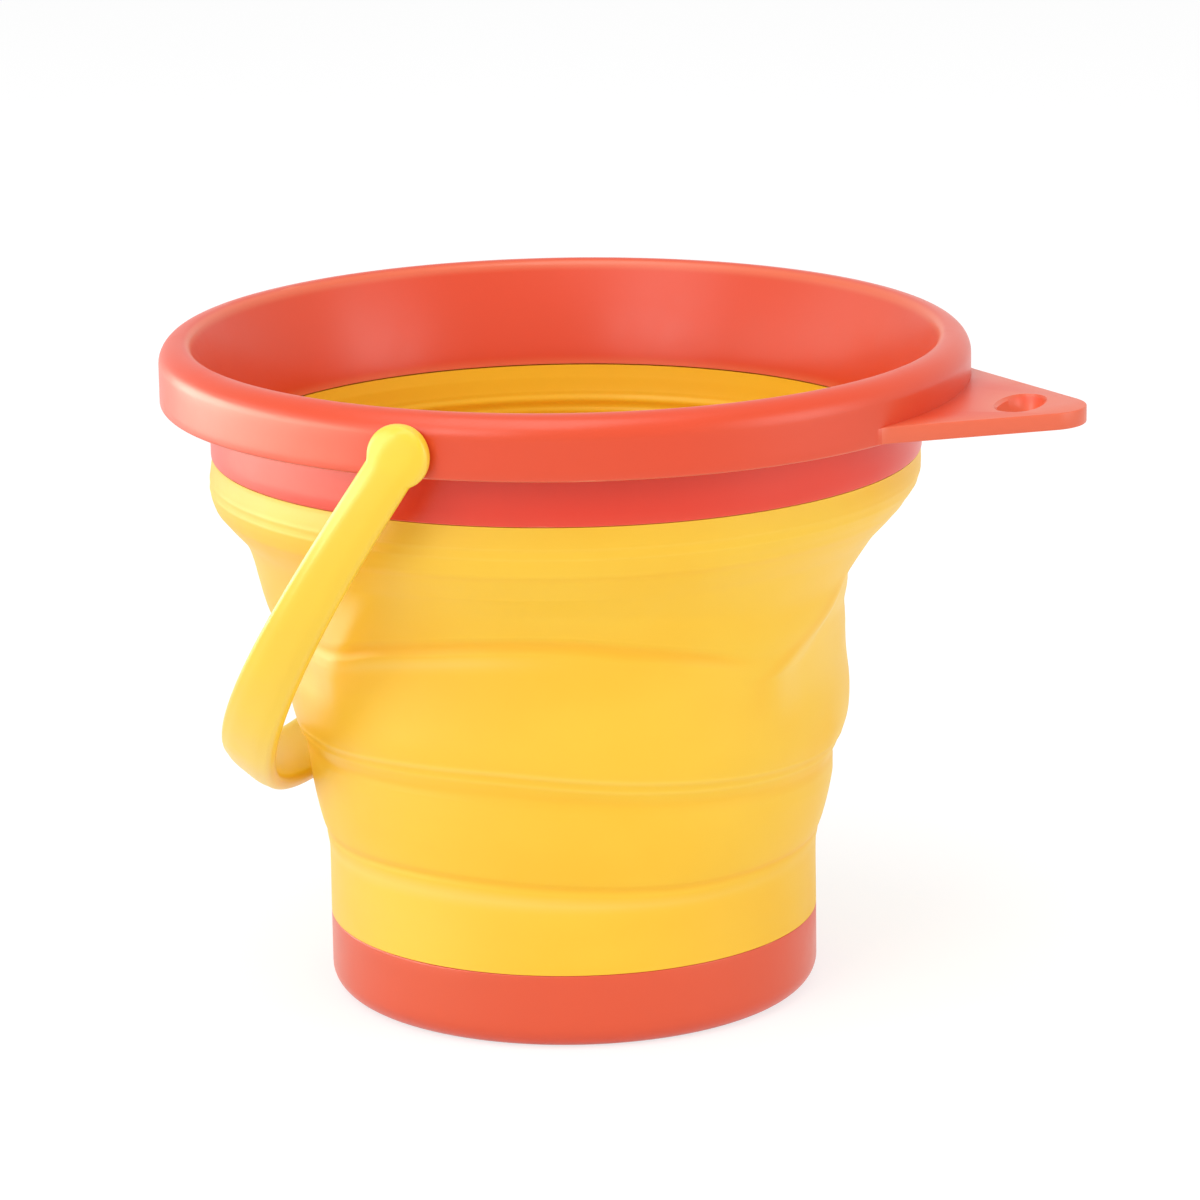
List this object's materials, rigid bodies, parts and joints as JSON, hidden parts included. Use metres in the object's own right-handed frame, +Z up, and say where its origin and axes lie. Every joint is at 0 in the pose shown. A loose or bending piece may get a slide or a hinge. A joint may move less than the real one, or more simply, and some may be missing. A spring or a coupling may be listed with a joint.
{
  "type": "collapsible bucket",
  "caption": "Round collapsible bucket: rigid rim with a hanging tab, pleated soft wall that folds flat, rigid base cup and a swinging bail.",
  "frame": {"origin": "centre of the underside of the base, on the bucket's axis", "axes": "+Z up along the bucket's axis, +X towards the hanging tab, the bail's pivot axis along Y"},
  "size_m": [0.2096, 0.1916, 0.1495],
  "materials": {
    "base_cup": "semi-gloss red-orange moulded plastic",
    "rim": "semi-gloss red-orange moulded plastic",
    "wall": "satin warm-yellow soft elastomer",
    "bail": "semi-gloss lemon-yellow moulded plastic"
  },
  "bodies": {
    "base": {"base_cup": "base_cup", "wall_base_band": "wall", "wall_lower_fold": "wall"},
    "middle": {"wall_middle_band": "wall", "wall_upper_fold": "wall"},
    "rim": {"rim": "rim", "wall_top_band": "wall"},
    "bail": {"bail": "bail"}
  },
  "joints": [
    {"name": "lower_fold", "type": "slide", "parent": "base", "child": "middle", "axis": [0, 0, -1], "range_m": [0, 0.0534], "deforming": ["wall_lower_fold"]},
    {"name": "upper_fold", "type": "slide", "parent": "middle", "child": "rim", "axis": [0, 0, -1], "range_m": [0, 0.0475], "deforming": ["wall_upper_fold"]},
    {"name": "bail_swing", "type": "hinge", "parent": "rim", "child": "bail", "pos_m": [0, 0, 0.1416], "axis": [0, 1, 0], "range_deg": [0, 230]}
  ]
}
